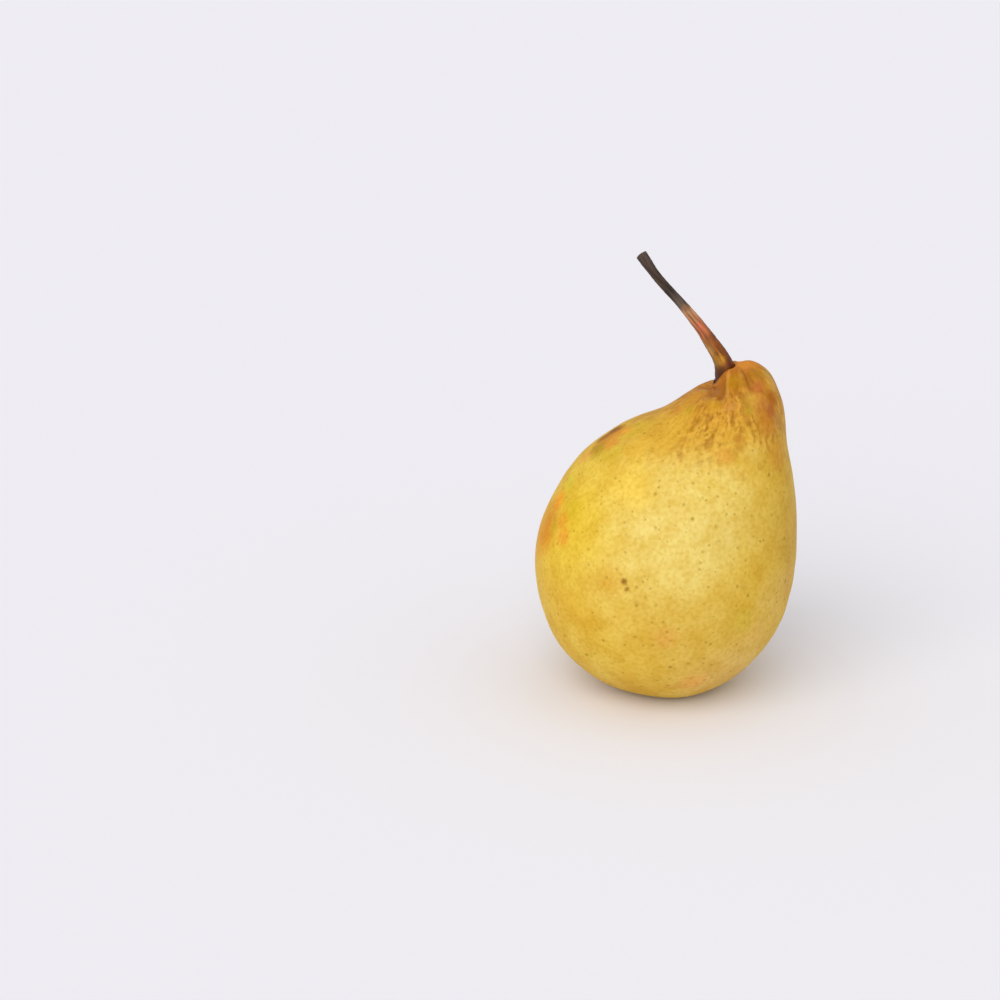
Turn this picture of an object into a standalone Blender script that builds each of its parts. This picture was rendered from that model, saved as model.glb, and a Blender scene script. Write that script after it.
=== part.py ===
"""A ripe yellow pear, standing on the flat at its calyx end.

Three pieces: the fruit, the stem in its socket, and the corky calyx scar in the basin underneath.
Metres, +Z up. The origin is under the middle of the fruit, on the surface that it rests on.
"""
import math

import bmesh
import bpy
import numpy as np

# Driving dimensions of the fruit
BODY_HEIGHT = 0.0905        # from the resting flat to the hump beside the stem
BELLY_WIDTH = 0.0700        # at the widest, from left to right
ROUNDNESS = 0.98            # depth of a rib from front to back, as a share of its width
HEAD_SETBACK = 0.0012       # how far the head stands back from the middle
HEAD_FULLNESS = 0.18        # extra depth of the head round the stem, as a share of a rib's depth
HEAD_START = 0.78           # where the head starts, as a share of the body's height
LOBE_HEIGHT = 0.020         # swell of the five lobes at the calyx end, as a share of the radius
FOLD_HEIGHT = 0.035         # swell of the folds that run down from the stem, as a share of the radius

# The flat that the fruit rests on, a level ring round the calyx basin
SEAT_RADIUS = 0.0125
SEAT_SHIFT = 0.0010         # the ring stands this far to the right of the belly's middle

# The calyx basin, a funnel that goes up into the fruit
BASIN_RADIUS = 0.0090
BASIN_DEPTH = 0.0070

# The calyx scar, on the basin's floor
SCAR_RADIUS = 0.0028
SCAR_THICKNESS = 0.0011
STYLE_RADIUS = 0.0007       # the withered styles, a stub under the scar's middle
STYLE_LENGTH = 0.0014

# The stem
STEM_LENGTH = 0.0400        # from the socket's mouth to the cut end
STEM_FOOT_DIAMETER = 0.0060
STEM_SLENDER_DIAMETER = 0.0021
STEM_TIP_DIAMETER = 0.0031  # the swollen end where it came off the spur
FOOT_TAPER = 0.0105         # length over which the foot's swelling dies away
TIP_TAPER = 0.0065          # length over which the tip's swelling dies away
SOCKET_DEPTH = 0.0050       # how deep the foot stands in the fruit

CLEARANCE = 0.0003          # gap between pieces that touch

# Fineness of the meshes
SIDES = 60                  # round the fruit
STEPS_PER_RIB = 3
BASIN_STEPS = 6
STEM_STEPS = 24
SCAR_SIDES = 32

# The fruit's ribs, from the seat to the stem. A rib is a slanted slice: its left end, then its right end.
# Reach is a share of half the belly's width, and height is a share of the body's height.
RIBS = (
    (-0.600, 0.050, 0.585, 0.045),
    (-0.865, 0.160, 0.777, 0.130),
    (-0.990, 0.305, 0.924, 0.240),
    (-1.000, 0.445, 0.993, 0.380),
    (-0.885, 0.573, 0.993, 0.518),
    (-0.688, 0.692, 0.956, 0.652),
    (-0.425, 0.775, 0.904, 0.762),
    (-0.105, 0.829, 0.874, 0.852),
    (0.150, 0.899, 0.826, 0.912),
    (0.310, 0.914, 0.747, 0.970),
    (0.385, 0.929, 0.620, 1.000),
    (0.405, 0.955, 0.435, 0.966),
)

# The stem's course from the socket's mouth, as shares of its length: to the right, back and up
STEM_COURSE = (
    (0.000, 0.000, 0.000),
    (-0.035, 0.000, 0.110),
    (-0.110, 0.005, 0.230),
    (-0.200, 0.010, 0.355),
    (-0.330, 0.010, 0.510),
    (-0.465, 0.005, 0.660),
    (-0.572, 0.000, 0.808),
)
FOOT_SLANT = 0.20           # sideways run of the buried foot for each unit of depth


def clear_scene():
    for item in list(bpy.data.objects):
        bpy.data.objects.remove(item, do_unlink=True)


def new_collection(name):
    collection = bpy.data.collections.new(name)
    bpy.context.scene.collection.children.link(collection)
    return collection


def skin_material(name, colour, roughness):
    """A Principled material, its colour given as sRGB shares."""
    material = bpy.data.materials.new(name)
    material.use_nodes = True
    shader = material.node_tree.nodes["Principled BSDF"]
    linear = [((share + 0.055) / 1.055) ** 2.4 for share in colour]
    shader.inputs["Base Color"].default_value = (*linear, 1.0)
    shader.inputs["Roughness"].default_value = roughness
    shader.inputs["Metallic"].default_value = 0.0
    return material


def smooth_curve(points, steps):
    """Catmull-Rom curve through the rows of points, with so many steps between each two rows."""
    points = np.asarray(points, dtype=float)
    before = 2.0 * points[0] - points[1]
    after = 2.0 * points[-1] - points[-2]
    held = np.vstack([before, points, after])
    share = (np.arange(steps) / steps)[:, None]
    pieces = []
    for row in range(len(points) - 1):
        a, b, c, d = held[row:row + 4]
        bend = (2.0 * a - 5.0 * b + 4.0 * c - d) * share ** 2
        twist = (3.0 * b - a - 3.0 * c + d) * share ** 3
        pieces.append(0.5 * (2.0 * b + (c - a) * share + bend + twist))
    pieces.append(points[-1:])
    return np.vstack(pieces)


def fruit_rows():
    """Rings of the fruit's outside, from the seat's outer edge to the pole in the socket's mouth.

    A ring is an ellipse. Its long axis runs from the rib's left end to its right end, and its short
    one from front to back. Five lobes swell it near the seat, and folds near the stem.
    """
    half_width = BELLY_WIDTH / 2.0
    lip = (SEAT_SHIFT - BASIN_RADIUS, 0.0, SEAT_SHIFT + BASIN_RADIUS, 0.0)
    seat = (SEAT_SHIFT - SEAT_RADIUS, 0.0, SEAT_SHIFT + SEAT_RADIUS, 0.0)
    scale = np.array([half_width, BODY_HEIGHT, half_width, BODY_HEIGHT])
    ribs = np.vstack([lip, seat, np.array(RIBS) * scale])
    half_depth = 0.5 * np.hypot(ribs[:, 2] - ribs[:, 0], ribs[:, 3] - ribs[:, 1]) * ROUNDNESS
    half_depth[:2] = BASIN_RADIUS, SEAT_RADIUS
    height = (ribs[:, 1] + ribs[:, 3]) / (2.0 * BODY_HEIGHT)
    half_depth *= 1.0 + HEAD_FULLNESS * np.clip((height - HEAD_START) / (1.0 - HEAD_START), 0.0, 1.0)
    middle_y = HEAD_SETBACK * height ** 3
    curve = smooth_curve(np.column_stack([ribs, half_depth, middle_y]), STEPS_PER_RIB)
    table = curve[STEPS_PER_RIB:]       # the lip only gives the curve its level start at the seat
    left_x, left_z, right_x, right_z, depth, middle_y = (table[:, [column]] for column in range(6))

    angle = np.linspace(0.0, 2.0 * math.pi, SIDES, endpoint=False)[None, :]
    rise = np.linspace(0.0, 1.0, len(table))[:, None]
    near_seat = np.clip(1.0 - rise / 0.42, 0.0, 1.0) ** 1.5
    near_stem = np.clip((rise - 0.60) / 0.25, 0.0, 1.0) * np.clip((1.0 - rise) / 0.12, 0.0, 1.0)
    lobes = LOBE_HEIGHT * near_seat * np.cos(5.0 * angle + 0.6)
    folds = 0.6 * np.cos(6.0 * angle + 0.5) + 0.4 * np.cos(9.0 * angle + 2.0)
    swell = 1.0 + lobes + FOLD_HEIGHT * near_stem * folds

    x = (left_x + right_x) / 2.0 + (right_x - left_x) / 2.0 * np.cos(angle) * swell
    y = middle_y + depth * np.sin(angle) * swell
    z = (left_z + right_z) / 2.0 + (right_z - left_z) / 2.0 * np.cos(angle) * swell
    return np.stack([x, y, z], axis=-1)


def basin_rows():
    """Rings of the calyx basin, from its floor down to the seat's inner edge.

    The radius grows evenly from the floor to the mouth while the depth follows half a cosine wave,
    which rounds the lip and the floor's edge.
    """
    share = np.linspace(1.0, 0.0, BASIN_STEPS + 1)[:, None]
    floor_radius = SCAR_RADIUS + 2.0 * CLEARANCE
    radius = BASIN_RADIUS + (floor_radius - BASIN_RADIUS) * share
    angle = np.linspace(0.0, 2.0 * math.pi, SIDES, endpoint=False)[None, :]
    lobed = radius * (1.0 + LOBE_HEIGHT * (1.0 - share) * np.cos(5.0 * angle + 0.6))
    x = SEAT_SHIFT + lobed * np.cos(angle)
    y = lobed * np.sin(angle)
    z = BASIN_DEPTH * (1.0 - np.cos(math.pi * share)) / 2.0 + 0.0 * angle
    return np.stack([x, y, z], axis=-1)


def fruit_frame():
    """The fruit's rings, moved so that its box is centred over the origin, and how far they moved."""
    outside = fruit_rows()
    low = outside.reshape(-1, 3).min(axis=0)
    high = outside.reshape(-1, 3).max(axis=0)
    shift = -(low + high) / 2.0
    shift[2] = 0.0
    rings = np.concatenate([basin_rows(), outside]) + shift
    return rings, shift


def loft(name, rings, start, end):
    """A closed mesh over rings of equally many points, its two ends fanned to the points given."""
    count, sides = rings.shape[:2]
    points = np.vstack([rings.reshape(-1, 3), start, end])
    around = np.arange(sides)
    onward = (around + 1) % sides
    faces = []
    for row in range(count - 1):
        base = row * sides
        quads = np.column_stack([base + around, base + onward, base + sides + onward, base + sides + around])
        faces.extend(quads.tolist())
    first = count * sides
    faces.extend(np.column_stack([onward, around, np.full(sides, first)]).tolist())
    top = (count - 1) * sides
    faces.extend(np.column_stack([top + around, top + onward, np.full(sides, first + 1)]).tolist())
    mesh = bpy.data.meshes.new(name)
    mesh.from_pydata(points.tolist(), [], faces)
    mesh.validate()
    return mesh


def stem_course(mouth, below):
    """Points along the stem and the distance of each from the socket's mouth, buried foot first."""
    course = np.array(STEM_COURSE) * STEM_LENGTH + mouth
    foot = mouth + below * np.array([FOOT_SLANT, 0.0, -1.0])
    smooth = smooth_curve(np.vstack([foot, course]), STEM_STEPS // len(STEM_COURSE))
    steps = np.linalg.norm(np.diff(smooth, axis=0), axis=1)
    distance = np.concatenate([[0.0], np.cumsum(steps)])
    buried = np.linalg.norm(foot - mouth)
    return smooth, distance - buried


def stem_radius(distance):
    """Slender middle, plus a swelling that fades up from the foot and one that fades down from the tip."""
    slender = STEM_SLENDER_DIAMETER / 2.0
    foot = (STEM_FOOT_DIAMETER / 2.0 - slender) * np.exp(-np.clip(distance, 0.0, None) / FOOT_TAPER)
    tip = (STEM_TIP_DIAMETER / 2.0 - slender) * np.exp((distance - distance.max()) / TIP_TAPER)
    return slender + foot + tip


def stem_tube(name, collection, mouth, below, extra):
    """The stem as a capped tube, its foot so far below the mouth and its radius larger by extra."""
    points, distance = stem_course(mouth, below)
    radii = stem_radius(distance) + extra
    curve = bpy.data.curves.new(name, "CURVE")
    curve.dimensions = "3D"
    curve.bevel_depth = 1.0
    curve.bevel_resolution = 6
    curve.use_fill_caps = True
    spline = curve.splines.new("POLY")
    spline.points.add(len(points) - 1)
    for knot, point, radius in zip(spline.points, points, radii):
        knot.co = (*point, 1.0)
        knot.radius = radius
    tube = bpy.data.objects.new(name, curve)
    collection.objects.link(tube)
    return tube


def meshed(tube, collection):
    """A mesh object in place of a curve object, with its caps welded on."""
    bpy.context.view_layer.update()
    evaluated = tube.evaluated_get(bpy.context.evaluated_depsgraph_get())
    mesh = bpy.data.meshes.new_from_object(evaluated)
    shell = bmesh.new()
    shell.from_mesh(mesh)
    bmesh.ops.remove_doubles(shell, verts=shell.verts, dist=0.00001)
    bmesh.ops.recalc_face_normals(shell, faces=shell.faces)
    shell.to_mesh(mesh)
    shell.free()
    name = tube.name
    bpy.data.objects.remove(tube, do_unlink=True)
    solid = bpy.data.objects.new(name, mesh)
    collection.objects.link(solid)
    return solid


def make_fruit(collection, rings):
    """The fruit is a loft between ribs that differ in slant and outline, which no primitive gives."""
    floor_middle = rings[0].mean(axis=0)
    pole = rings[-1].mean(axis=0)
    mesh = loft("pear_body", rings, floor_middle, pole)
    mesh.materials.append(skin_material("pear_skin", (0.89, 0.75, 0.31), 0.42))
    mesh.shade_smooth()
    fruit = bpy.data.objects.new("pear_body", mesh)
    collection.objects.link(fruit)
    return fruit, pole


def cut_socket(fruit, cutters, mouth):
    """The hole that the stem's foot stands in, a clearance wider and deeper than the foot."""
    tube = stem_tube("stem_socket_cutter", cutters, mouth, SOCKET_DEPTH + CLEARANCE, CLEARANCE)
    cutter = meshed(tube, cutters)
    cutter.hide_render = True
    cutter.display_type = "WIRE"
    cut = fruit.modifiers.new("stem_socket", "BOOLEAN")
    cut.operation = "DIFFERENCE"
    cut.solver = "EXACT"
    cut.object = cutter


def make_stem(collection, mouth):
    tube = stem_tube("stem", collection, mouth, SOCKET_DEPTH, 0.0)
    stem = meshed(tube, collection)
    stem.data.materials.append(skin_material("stem_bark", (0.48, 0.29, 0.14), 0.60))
    stem.data.shade_smooth()
    stem.data.set_sharp_from_angle(angle=math.radians(40.0))
    return stem


def make_calyx_scar(collection, seat_centre):
    """A turned corky disc with the stub of the withered styles hanging from its middle."""
    top = BASIN_DEPTH - CLEARANCE
    underside = top - SCAR_THICKNESS
    rim = SCAR_THICKNESS / 4.0
    profile = (
        (0.0, top),
        (SCAR_RADIUS - rim, top),
        (SCAR_RADIUS, top - rim),
        (SCAR_RADIUS, underside + rim),
        (SCAR_RADIUS - rim, underside),
        (STYLE_RADIUS * 1.4, underside),
        (STYLE_RADIUS, underside - STYLE_LENGTH * 0.3),
        (STYLE_RADIUS, underside - STYLE_LENGTH),
        (0.0, underside - STYLE_LENGTH),
    )
    mesh = bpy.data.meshes.new("calyx_scar")
    points = [(x, 0.0, z) for x, z in profile]
    edges = [(step, step + 1) for step in range(len(profile) - 1)]
    mesh.from_pydata(points, edges, [])
    mesh.materials.append(skin_material("calyx_cork", (0.36, 0.26, 0.17), 0.85))
    scar = bpy.data.objects.new("calyx_scar", mesh)
    scar.location = (seat_centre[0], seat_centre[1], 0.0)
    collection.objects.link(scar)
    turn = scar.modifiers.new("turned", "SCREW")
    turn.steps = SCAR_SIDES
    turn.render_steps = SCAR_SIDES
    turn.use_merge_vertices = True
    turn.merge_threshold = 0.00001
    return scar


def build():
    clear_scene()
    pear = new_collection("pear")
    cutters = new_collection("cutters")
    rings, shift = fruit_frame()
    fruit, mouth = make_fruit(pear, rings)
    cut_socket(fruit, cutters, mouth)
    make_stem(pear, mouth)
    make_calyx_scar(pear, (SEAT_SHIFT + shift[0], shift[1]))


build()
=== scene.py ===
"""Looks of a ripe yellow pear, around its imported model: studio, fruit, stem and calyx scar.

Metres, +Z up. The fruit stands on the floor at z = 0, and its head bulges towards +X.
"""
import math

import bpy
import numpy as np
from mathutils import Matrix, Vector


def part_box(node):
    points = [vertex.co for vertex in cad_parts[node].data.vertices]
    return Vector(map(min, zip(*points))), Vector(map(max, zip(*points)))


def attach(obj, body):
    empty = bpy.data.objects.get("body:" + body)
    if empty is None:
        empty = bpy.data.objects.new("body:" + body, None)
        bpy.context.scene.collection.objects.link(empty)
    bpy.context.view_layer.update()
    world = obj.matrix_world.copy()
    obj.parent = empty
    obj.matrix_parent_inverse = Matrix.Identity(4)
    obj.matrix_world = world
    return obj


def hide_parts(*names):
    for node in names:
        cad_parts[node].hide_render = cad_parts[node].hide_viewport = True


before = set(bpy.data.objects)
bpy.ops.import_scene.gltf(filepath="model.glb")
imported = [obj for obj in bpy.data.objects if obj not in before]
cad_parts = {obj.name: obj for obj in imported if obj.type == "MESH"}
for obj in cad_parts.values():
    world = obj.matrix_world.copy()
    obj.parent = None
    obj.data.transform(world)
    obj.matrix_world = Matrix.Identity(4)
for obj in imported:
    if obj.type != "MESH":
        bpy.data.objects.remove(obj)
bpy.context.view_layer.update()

# ---------------------------------------------------------------------------------------------
# Studio. The camera looks down on the fruit from a little above table height. The floor is a
# wide sheet of pale paper, lit by a large soft key from the front left and an even pale room.
# ---------------------------------------------------------------------------------------------
CAMERA_ELEVATION = math.radians(20.0)
CAMERA_DISTANCE = 0.627
LENS_MM = 81.8
SENSOR_MM = 36.0
AIM_LEFT = 0.04464          # the view's middle is this far to the left of the fruit
AIM_UP = 0.0491             # and this far up, square to the view
PAPER_WHITE = "#EEEDF2"     # as it looks where the light falls evenly
PAPER_COLOUR = "#EBEAF1"    # and its own colour
FLOOR_SIZE = 40.0
ROOM_GLOW = 0.62            # how bright the even light of the room is

# Lights: degrees from the front, less than 0 to the left, degrees up, strength, width in degrees, colour
LIGHTS = {
    "soft_key": (-28.0, 38.0, 1.55, 60.0, "#FFFDF8"),
    "top_fill": (20.0, 75.0, 0.35, 120.0, "#FFFFFF"),
}


def linear(colour):
    """A hex sRGB colour as linear red, green, blue and an alpha of 1."""
    shares = [int(colour[at:at + 2], 16) / 255.0 for at in (1, 3, 5)]
    return tuple(s / 12.92 if s <= 0.04045 else ((s + 0.055) / 1.055) ** 2.4 for s in shares) + (1.0,)


def add_node(tree, kind, sockets=None, **settings):
    """Adds a node: settings are its properties, and each socket gets a value or another node's output."""
    node = tree.nodes.new(kind)
    for name, value in settings.items():
        setattr(node, name, value)
    for name, value in (sockets or {}).items():
        if isinstance(value, bpy.types.NodeSocket):
            tree.links.new(value, node.inputs[name])
        else:
            node.inputs[name].default_value = value
    return node


def new_material(name):
    """An empty node material and its output node."""
    material = bpy.data.materials.new(name)
    material.use_nodes = True
    material.node_tree.nodes.clear()
    return material, add_node(material.node_tree, "ShaderNodeOutputMaterial")


def add_camera():
    away = Vector((0.0, math.cos(CAMERA_ELEVATION), -math.sin(CAMERA_ELEVATION)))
    up = Vector((0.0, math.sin(CAMERA_ELEVATION), math.cos(CAMERA_ELEVATION)))
    camera = bpy.data.objects.new("camera", bpy.data.cameras.new("camera"))
    camera.location = up * AIM_UP - away * CAMERA_DISTANCE - Vector((AIM_LEFT, 0.0, 0.0))
    camera.rotation_euler = (math.pi / 2.0 - CAMERA_ELEVATION, 0.0, 0.0)
    camera.data.lens = LENS_MM
    camera.data.sensor_width = SENSOR_MM
    camera.data.clip_start = 0.01
    camera.data.clip_end = 100.0
    bpy.context.scene.collection.objects.link(camera)
    bpy.context.scene.camera = camera


def add_sun(name, azimuth, elevation, strength, spread, colour):
    """A soft light from a wide patch of sky, whose rays come from the azimuth and elevation given."""
    light = bpy.data.lights.new(name, "SUN")
    light.energy = strength
    light.angle = math.radians(spread)
    light.color = linear(colour)[:3]
    lamp = bpy.data.objects.new(name, light)
    turn = math.radians(azimuth)
    rise = math.radians(elevation)
    towards = Vector((math.sin(turn) * math.cos(rise), -math.cos(turn) * math.cos(rise), math.sin(rise)))
    lamp.rotation_euler = towards.to_track_quat("Z", "Y").to_euler()
    bpy.context.scene.collection.objects.link(lamp)


def add_room():
    """The pale room all round: even light, and the paper's own white where the camera sees past it."""
    world = bpy.data.worlds.new("pale_room")
    world.use_nodes = True
    tree = world.node_tree
    tree.nodes.clear()
    path = add_node(tree, "ShaderNodeLightPath")
    glow = add_node(tree, "ShaderNodeBackground", {"Color": linear("#FFFFFF"), "Strength": ROOM_GLOW})
    seen = add_node(tree, "ShaderNodeBackground", {"Color": linear(PAPER_WHITE), "Strength": 1.0})
    mix = add_node(tree, "ShaderNodeMixShader", {
        0: path.outputs["Is Camera Ray"], 1: glow.outputs[0], 2: seen.outputs[0]})
    add_node(tree, "ShaderNodeOutputWorld", {"Surface": mix.outputs[0]})
    bpy.context.scene.world = world


def add_floor():
    mesh = bpy.data.meshes.new("paper_floor")
    half = FLOOR_SIZE / 2.0
    corners = [(-half, -half, 0.0), (half, -half, 0.0), (half, half, 0.0), (-half, half, 0.0)]
    mesh.from_pydata(corners, [], [(0, 1, 2, 3)])
    floor = bpy.data.objects.new("paper_floor", mesh)
    bpy.context.scene.collection.objects.link(floor)
    # Matt seamless paper: no gloss, and a faint blue-white tint.
    material, output = new_material("matt_paper")
    tree = material.node_tree
    shader = add_node(tree, "ShaderNodeBsdfDiffuse", {"Color": linear(PAPER_COLOUR)})
    tree.links.new(shader.outputs[0], output.inputs["Surface"])
    mesh.materials.append(material)


add_camera()
for light_name, light_terms in LIGHTS.items():
    add_sun(light_name, *light_terms)
add_room()
add_floor()
view = bpy.context.scene.view_settings
view.view_transform = "Standard"
view.look = "None"

# ---------------------------------------------------------------------------------------------
# Fruit. Thin waxy skin over firm flesh: a leaning pear whose head is pleated where it closes
# round the stem. It stands on the level ring round its calyx basin.
# ---------------------------------------------------------------------------------------------
BODY_HEIGHT = 0.0905        # from the level ring to the hump beside the stem
BELLY_WIDTH = 0.0700        # at the widest, from left to right
ROUNDNESS = 0.98            # depth of a rib from front to back, as a share of its width
HEAD_SETBACK = 0.0012       # how far the head stands back from the middle
HEAD_FULLNESS = 0.18        # extra depth of the head, as a share of a rib's depth
HEAD_START = 0.78           # where that starts, as a share of the body's height
LOBES = 5                   # faint lobes at the calyx end
LOBE_TURN = 0.6             # how far round they are turned, in radians of their wave
LOBE_HEIGHT = 0.020         # their swell, as a share of the radius
LOBE_REACH = 0.36           # share of the way to the stem over which they die away
SEAT_RADIUS = 0.0125        # outer edge of the level ring
SEAT_SHIFT = 0.0010         # the ring stands this far to the right of the belly's middle
BASIN_RADIUS = 0.0090       # inner edge of the level ring
BASIN_DEPTH = 0.0070
BASIN_FLOOR = 0.0034        # radius of the basin's floor
MOUTH_REACH = 0.420         # the middle of the stem's socket, as a share of half the belly's width
MOUTH_HEIGHT = 0.9605       # and as a share of the body's height

SIDES = 360
STEPS_PER_RIB = 16
BASIN_STEPS = 22
MM = 0.001

# Slanted slices of the fruit from the seat to the neck: left end, then right end. Reach is a share
# of half the belly's width, and height is a share of the body's height.
RIBS = (
    (-0.600, 0.050, 0.585, 0.045),
    (-0.865, 0.160, 0.777, 0.130),
    (-0.990, 0.305, 0.924, 0.240),
    (-1.000, 0.445, 0.993, 0.380),
    (-0.885, 0.573, 0.993, 0.518),
    (-0.688, 0.692, 0.956, 0.652),
    (-0.425, 0.775, 0.904, 0.762),
    (-0.105, 0.829, 0.874, 0.852),
    (0.150, 0.899, 0.826, 0.912),
    (0.310, 0.914, 0.747, 0.970),
)

# The fleshy lip round the stem, in millimetres from the middle of the socket: left reach and height,
# right reach and height, half depth, and how far the flesh in front climbs the stem.
LIP = (
    (-3.55, -2.85, 7.00, 3.55, 5.50, 1.5),      # crest
    (-3.05, -2.50, 2.48, 3.05, 3.20, 1.9),      # edge against the stem
    (-2.45, -4.30, 3.50, 0.10, 3.50, 0.0),      # wall of the socket
    (-2.25, -5.95, 4.25, -5.20, 3.35, 0.0),     # floor of the socket
)
ROWS_BELOW_EDGE = 2
LIP_FRONT = -100.0          # degrees round the socket, where the lip climbs highest in front
LIP_BACK = 95.0             # and where it climbs behind
LIP_SPREAD = 45.0           # degrees over which each climb dies away
LIP_BACK_SHARE = 0.6        # the climb behind, as a share of the one in front

# Pleats of the head, seen from above in millimetres from the middle of the socket and in degrees:
# start to the right, start to the back, heading, height (less than 0 for a crease), half width, length.
PLEATS = (
    (-1.2, -3.0, -98.0, -0.75, 1.1, 15.0),
    (1.6, -2.6, -90.0, -0.60, 0.9, 13.0),
    (3.0, -1.6, -66.0, -1.00, 1.3, 17.0),
    (0.2, -3.0, -94.0, 0.45, 0.9, 13.0),
    (2.8, -2.2, -78.0, 0.45, 0.9, 12.0),
    (4.6, -0.6, -48.0, -0.50, 1.5, 13.0),
    (-4.8, -0.6, -172.0, 0.45, 2.4, 9.0),
    (-2.6, -2.2, -132.0, -0.45, 1.6, 9.0),
    (0.2, 3.0, 93.0, -0.90, 1.5, 16.0),
    (-2.4, 2.0, 140.0, -0.70, 1.6, 14.0),
    (2.6, 2.0, 52.0, -0.80, 1.6, 15.0),
    (1.6, 2.6, 72.0, 0.60, 2.0, 12.0),
)

# Unevenness of the flesh: seed, number of waves, longest and shortest in metres, height in millimetres
SWELLS = (
    (11, 14, 0.034, 0.018, 0.13),
    (12, 18, 0.010, 0.005, 0.03),
)
GRAIN_RADIUS = 12.0         # millimetres, of the circle that the skin's grain is laid round


def smooth_curve(points, steps):
    """Catmull-Rom curve through the rows of points, with so many steps between each two rows."""
    points = np.asarray(points, dtype=float)
    before = 2.0 * points[0] - points[1]
    after = 2.0 * points[-1] - points[-2]
    held = np.vstack([before, points, after])
    share = (np.arange(steps) / steps)[:, None]
    pieces = []
    for row in range(len(points) - 1):
        a, b, c, d = held[row:row + 4]
        bend = (2.0 * a - 5.0 * b + 4.0 * c - d) * share ** 2
        twist = (3.0 * b - a - 3.0 * c + d) * share ** 3
        pieces.append(0.5 * (2.0 * b + (c - a) * share + bend + twist))
    pieces.append(points[-1:])
    return np.vstack(pieces)


def smoothstep(value, low, high):
    """0 below low, 1 above high, and 3t^2 - 2t^3 of the share t between."""
    share = np.clip((value - low) / (high - low), 0.0, 1.0)
    return share * share * (3.0 - 2.0 * share)


def bell(value, width):
    """exp(-(value / width)^2), a smooth bump of height 1."""
    return np.exp(-(value / width) ** 2)


def fruit_outside(angle):
    """Rings of the outside, seat to the socket's floor. A ring is an ellipse on a slanted rib: middle
    plus half the rib times cos(angle), and half the depth times sin(angle) to the back. Five lobes
    swell it near the seat, and two bells lift the lip in front of the stem and behind it."""
    half_width = BELLY_WIDTH / 2.0
    mouth_back = HEAD_SETBACK * MOUTH_HEIGHT ** 3
    mouth = np.array([MOUTH_REACH * half_width, mouth_back, MOUTH_HEIGHT * BODY_HEIGHT])
    throat = (SEAT_SHIFT - BASIN_RADIUS, 0.0, SEAT_SHIFT + BASIN_RADIUS, 0.0)
    seat = (SEAT_SHIFT - SEAT_RADIUS, 0.0, SEAT_SHIFT + SEAT_RADIUS, 0.0)
    scale = np.array([half_width, BODY_HEIGHT, half_width, BODY_HEIGHT])
    ribs = np.vstack([throat, seat, np.array(RIBS) * scale])
    half_depth = 0.5 * np.hypot(ribs[:, 2] - ribs[:, 0], ribs[:, 3] - ribs[:, 1]) * ROUNDNESS
    half_depth[:2] = BASIN_RADIUS, SEAT_RADIUS
    height = (ribs[:, 1] + ribs[:, 3]) / (2.0 * BODY_HEIGHT)
    half_depth *= 1.0 + HEAD_FULLNESS * np.clip((height - HEAD_START) / (1.0 - HEAD_START), 0.0, 1.0)
    body = np.column_stack([ribs, half_depth, HEAD_SETBACK * height ** 3, 0.0 * height])
    lip = np.array(LIP) * MM
    lip[:, :4] += mouth[[0, 2, 0, 2]]
    lip = np.column_stack([lip[:, :5], np.full(len(lip), mouth[1]), lip[:, 5]])
    table = smooth_curve(np.vstack([body, lip]), STEPS_PER_RIB)[STEPS_PER_RIB:]
    left_x, left_z, right_x, right_z, depth, middle_y, climb = (table[:, [column]] for column in range(7))
    rise = np.linspace(0.0, 1.0, len(table))[:, None]
    near_seat = np.clip(1.0 - rise / LOBE_REACH, 0.0, 1.0) ** 1.5
    swell = 1.0 + LOBE_HEIGHT * near_seat * np.cos(LOBES * angle + LOBE_TURN)
    degrees = np.degrees(angle)
    front = (degrees - LIP_FRONT + 180.0) % 360.0 - 180.0
    back = (degrees - LIP_BACK + 180.0) % 360.0 - 180.0
    lift = climb * (bell(front, LIP_SPREAD) + LIP_BACK_SHARE * bell(back, LIP_SPREAD))
    x = (left_x + right_x) / 2.0 + (right_x - left_x) / 2.0 * np.cos(angle) * swell
    y = middle_y + depth * np.sin(angle) * swell
    z = (left_z + right_z) / 2.0 + (right_z - left_z) / 2.0 * np.cos(angle) * swell + lift
    return np.stack([x, y, z], axis=-1), mouth


def fruit_basin(angle):
    """Rings of the calyx basin, floor to mouth: the radius grows evenly while the depth follows half a
    cosine. Ribs of half a sine, one for each lobe and 17 finer ones, run down the funnel."""
    share = np.linspace(1.0, 0.0, BASIN_STEPS + 1)[:, None]
    radius = BASIN_RADIUS + (BASIN_FLOOR - BASIN_RADIUS) * share
    wave = np.cos(LOBES * angle + LOBE_TURN)
    ribs = np.sin(math.pi * share) * (0.05 * wave + 0.02 * np.cos(17.0 * angle))
    radius = radius * (1.0 + LOBE_HEIGHT * (1.0 - share) * wave) * (1.0 + ribs)
    z = BASIN_DEPTH * (1.0 - np.cos(math.pi * share)) / 2.0 + 0.0 * angle
    return np.stack([SEAT_SHIFT + radius * np.cos(angle), radius * np.sin(angle), z], axis=-1)


def grid_normals(points):
    """Unit normals of a grid of rings: across the rings times along them."""
    around = np.roll(points, -1, axis=1) - np.roll(points, 1, axis=1)
    along = np.gradient(points, axis=0)
    normal = np.cross(around, along)
    length = np.linalg.norm(normal, axis=-1, keepdims=True)
    return normal / np.maximum(length, 1e-12)


def soft_lumps(points, seed, count, longest, shortest):
    """Sum of sine waves through space, with seeded directions, phases and wavelengths, about -1 to 1."""
    draw = np.random.default_rng(seed)
    total = np.zeros(points.shape[:-1])
    for _ in range(count):
        way = draw.normal(size=3)
        way /= np.linalg.norm(way)
        wave = draw.uniform(shortest, longest)
        total += np.sin(points @ way * (2.0 * math.pi / wave) + draw.uniform(0.0, 2.0 * math.pi))
    return total / math.sqrt(count)


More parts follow.
